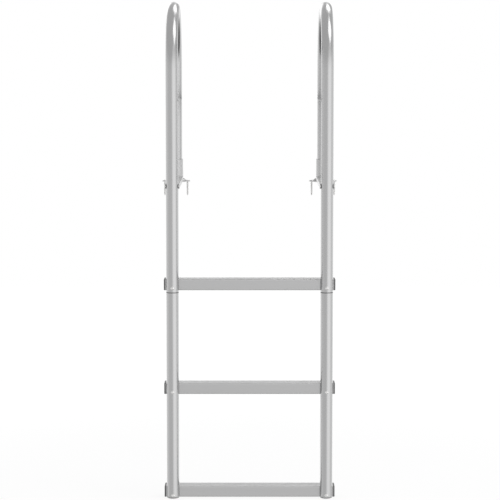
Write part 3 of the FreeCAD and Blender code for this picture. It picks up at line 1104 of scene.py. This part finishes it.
def fit_cap(level, side):
    """A moulded cap that stands for the plain one at a side of a tread."""
    node = f"{level}_{side}_tread_cap"
    low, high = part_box(node)
    outward = 1 if side == "right" else -1
    face_x, insert_x = (high.x, low.x) if outward > 0 else (low.x, high.x)
    root_x = face_x - outward * CAP_PLATE
    plug = (PLUG_FRONT, high.y - CAP_WALL, low.z + CAP_WALL, high.z - CAP_WALL)
    plate = (low.y, high.y, low.z, high.z)
    outlines = [
        rounded_outline(insert_x, shrunk(plug, PLUG_LEAD), PLUG_LEAD_CORNER),
        rounded_outline(insert_x + outward * PLUG_LEAD, plug, PLUG_CORNER),
        rounded_outline(root_x, plug, PLUG_CORNER),
        rounded_outline(root_x, plate, TREAD_CORNER),
    ]
    for i in range(ROUND_ROWS):
        turn = QUARTER * i / (ROUND_ROWS - 1)
        inset = CAP_ROUND * (1 - math.cos(turn))
        x = face_x - outward * CAP_ROUND * (1 - math.sin(turn))
        corner = TREAD_CORNER - inset * ROUND_SHARE
        outlines.append(rounded_outline(x, shrunk(plate, inset), corner))
    mesh = shade(skin(node + "_moulded", outlines), CAP_EDGE_ANGLE)
    mesh.materials.append(CAP_PLASTIC)
    piece = add_object(node + "_moulded", mesh)
    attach(piece, "root")
    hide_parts(node)
    return piece


caps = [fit_cap(level, side) for level in STEPS for side in SIDES]
print("caps:", len(caps), "faces each:", len(caps[0].data.polygons))

# %% [markdown]
# ## Floor
#
# The picture has a plain white ground. The floor is pale, and what the camera sees of it is
# mostly its own white, mixed near the ladder with the lit floor, so that it looks white and still
# shows the soft shadow. Other light finds a plain pale floor. Reflections pass through it to the
# room, which goes on below it, so the rails look the same down to their feet.

# %% Lay the floor
FLOOR_WHITE = 0.86
FLOOR_GLOW = 1.02
FLOOR_TONE = (0.8, 0.04)
FLOOR_CLOUD_WIDTH = 0.5
FLOOR_REACH = (0.5, 2.2)
FLOOR_LEFT, FLOOR_RIGHT = -5, 5
FLOOR_FRONT, FLOOR_BACK = -7, 5


def white_ground_rays(graph):
    """1 for rays that find the white ground: from the camera, or off or through the object."""
    kinds = graph.add("ShaderNodeLightPath").socket.node.outputs
    names = ("Is Camera Ray", "Is Glossy Ray", "Is Transmission Ray")
    camera_ray, glossy, transmitted = [Value(graph, kinds[name]) for name in names]
    return (camera_ray + glossy + transmitted).at_most(1.0)


def build_floor():
    material, graph = new_finish("pale_floor")
    x, y, z = place(graph)
    tone = mix(FLOOR_TONE, noise(graph, x, y, z, FLOOR_CLOUD_WIDTH))
    lit = graph.add("ShaderNodeBsdfDiffuse", sockets={"Color": rgb(graph, tone, tone, tone)})
    glow = {"Color": grey(1.0), "Strength": FLOOR_GLOW}
    white = graph.add("ShaderNodeEmission", sockets=glow)
    reach = ((x - CENTRE_X) ** 2 + (y - HOOP_CENTRE_Y) ** 2) ** 0.5
    white_share = FLOOR_WHITE + step(graph, reach, *FLOOR_REACH) * (1.0 - FLOOR_WHITE)
    share = white_ground_rays(graph) * white_share
    mixed = graph.add("ShaderNodeMixShader", sockets={0: share, 1: lit, 2: white})
    graph.add("ShaderNodeOutputMaterial", sockets={"Surface": mixed})
    mesh = bpy.data.meshes.new("floor")
    corners = [
        (FLOOR_LEFT, FLOOR_FRONT, FOOT_Z),
        (FLOOR_RIGHT, FLOOR_FRONT, FOOT_Z),
        (FLOOR_RIGHT, FLOOR_BACK, FOOT_Z),
        (FLOOR_LEFT, FLOOR_BACK, FOOT_Z),
    ]
    mesh.from_pydata(corners, [], [range(len(corners))])
    mesh.materials.append(material)
    floor = add_object("floor", mesh)
    floor.visible_glossy = False


build_floor()
print("floor at", round(FOOT_Z, 4))

# %% [markdown]
# ## Room
#
# Metal shows what stands around it, so the room makes the look of the tubes. Its walls are white,
# and its ceiling and ground are duller. A soft dull patch on the wall to the front left and a
# soft glow to the front right become the dark and the light band that run down each rail, and
# another glow lights their edges from behind. The tops of the hoops mirror what stands low behind
# them: a bright edge of backdrop on the left and a dull corner on the right. The camera itself
# sees plain white.
#
# Each patch is written as its direction, the two angles in degrees between which it fades out,
# and its strength. The ceiling fades in between two heights of the direction, and so does the
# ground below.

# %% Paint the room
WALL_LEVEL = 1.07
CEILING_LEVEL = 0.72
GROUND_LEVEL = 0.60
CEILING_RISE = (-0.05, 0.42)
GROUND_FALL = (0.20, 0.45)
DULL_PATCH = ((-0.56, -0.83, 0.0), 15, 60, -0.19)
RIGHT_GLOW = ((0.66, -0.75, 0.0), 4, 48, 0.44)
BACK_GLOW = ((0.0, 1.0, 0.0), 30, 77, 0.26)
BACKDROP_EDGE = ((-0.3, 1.0, 0.26), 5, 14, 1.0)
DULL_CORNER = ((0.30, 0.95, 0.10), 4, 18, -0.45)


def patch(graph, direction, toward, inner, outer, strength):
    """A soft round patch: full within the inner angle and gone past the outer one."""
    sockets = {0: direction, 1: Vector(toward).normalized()}
    settings = {"operation": "DOT_PRODUCT"}
    facing = graph.add("ShaderNodeVectorMath", settings, sockets, output="Value")
    start, full = (math.cos(math.radians(angle)) for angle in (outer, inner))
    return step(graph, facing, start, full) * strength


def build_room():
    world = bpy.data.worlds.new("studio")
    world.use_nodes = True
    bpy.context.scene.world = world
    graph = Graph(world.node_tree)
    direction = graph.add("ShaderNodeTexCoord", output="Generated")
    parts = graph.add("ShaderNodeSeparateXYZ", sockets={0: direction}).socket.node.outputs
    up = Value(graph, parts[2])
    wall = patch(graph, direction, *DULL_PATCH) + patch(graph, direction, *BACK_GLOW) + WALL_LEVEL
    level = wall + step(graph, up, *CEILING_RISE) * (CEILING_LEVEL - wall)
    for spot in (RIGHT_GLOW, BACKDROP_EDGE, DULL_CORNER):
        level = level + patch(graph, direction, *spot)
    level = level + step(graph, 0.0 - up, *GROUND_FALL) * (GROUND_LEVEL - level)
    kinds = graph.add("ShaderNodeLightPath").socket.node.outputs
    camera_ray = Value(graph, kinds["Is Camera Ray"])
    seen = level + camera_ray * (1.0 - level)
    sockets = {"Color": rgb(graph, seen, seen, seen), "Strength": 1.0}
    shader = graph.add("ShaderNodeBackground", sockets=sockets)
    graph.add("ShaderNodeOutputWorld", sockets={"Surface": shader})


build_room()
print("room levels: wall", WALL_LEVEL, "ceiling", CEILING_LEVEL, "ground", GROUND_LEVEL)

# %% [markdown]
# ## Lamps and a flag
#
# Two soft boxes give the bends of the handrails their white glints: a large one overhead on the
# right and a smaller one high behind. They also cast the soft shadow on the floor. Photographers
# hang dark flags near metal, so that it has something dark to show. A level one between the
# handrails, seen only in reflections, draws the dark line on the inner side of each bend.

# %% Hang the soft boxes and the flag
LAMP_DISTANCE = 8.0
LAMP_RADIANCE = 1.7
RIGHT_BOX = ((0.588, -0.134, 0.798), 5.8, 5.2)
BACK_BOX = ((0.259, 0.671, 0.695), 3.4, 4.1)
FLAG_DROP = 0.1
FLAG_Z = HOOP_CENTRE_Z - FLAG_DROP
FLAG_OUTLINE = ((0.154, -0.01), (0.154, 0.205), (0.06, 0.445))
FLAG_TONE = (0.08, 0.02)
FLAG_WEAVE = 0.01
FLAG_ROUGHNESS = 0.9


def hang_lamp(name, toward, width, height):
    """A soft box over the handrails, in some direction, that the camera doesn't see."""
    data = bpy.data.lights.new(name, "AREA")
    data.shape = "RECTANGLE"
    data.size = width
    data.size_y = height
    data.energy = LAMP_RADIANCE * math.pi * width * height
    lamp = add_object(name, data)
    unit = Vector(toward).normalized()
    aim = Vector((CENTRE_X, HOOP_CENTRE_Y, HOOP_CENTRE_Z))
    lamp.location = aim + unit * LAMP_DISTANCE
    lamp.rotation_euler = (-unit).to_track_quat("-Z", "Y").to_euler()
    lamp.visible_camera = False


def hang_flag():
    """A dark, level sheet that is seen only in reflections."""
    material, graph = new_finish("flag_cloth")
    x, y, z = place(graph)
    tone = mix(FLAG_TONE, noise(graph, x, y, z, FLAG_WEAVE))
    surface(graph, base_color=rgb(graph, tone, tone, tone), roughness=FLAG_ROUGHNESS)
    right = [(CENTRE_X + half, HOOP_CENTRE_Y + back, FLAG_Z) for half, back in FLAG_OUTLINE]
    left = [(CENTRE_X - half, HOOP_CENTRE_Y + back, FLAG_Z) for half, back in FLAG_OUTLINE]
    corners = right + left[::-1]
    mesh = bpy.data.meshes.new("flag")
    mesh.from_pydata(corners, [], [range(len(corners))])
    mesh.materials.append(material)
    flag = add_object("flag", mesh)
    flag.visible_camera = False
    flag.visible_diffuse = False
    flag.visible_shadow = False


hang_lamp("right_box", *RIGHT_BOX)
hang_lamp("back_box", *BACK_BOX)
hang_flag()
bpy.context.scene.view_settings.view_transform = "Standard"
print("lamps:", len(bpy.data.lights), "flag at", round(FLAG_Z, 4))
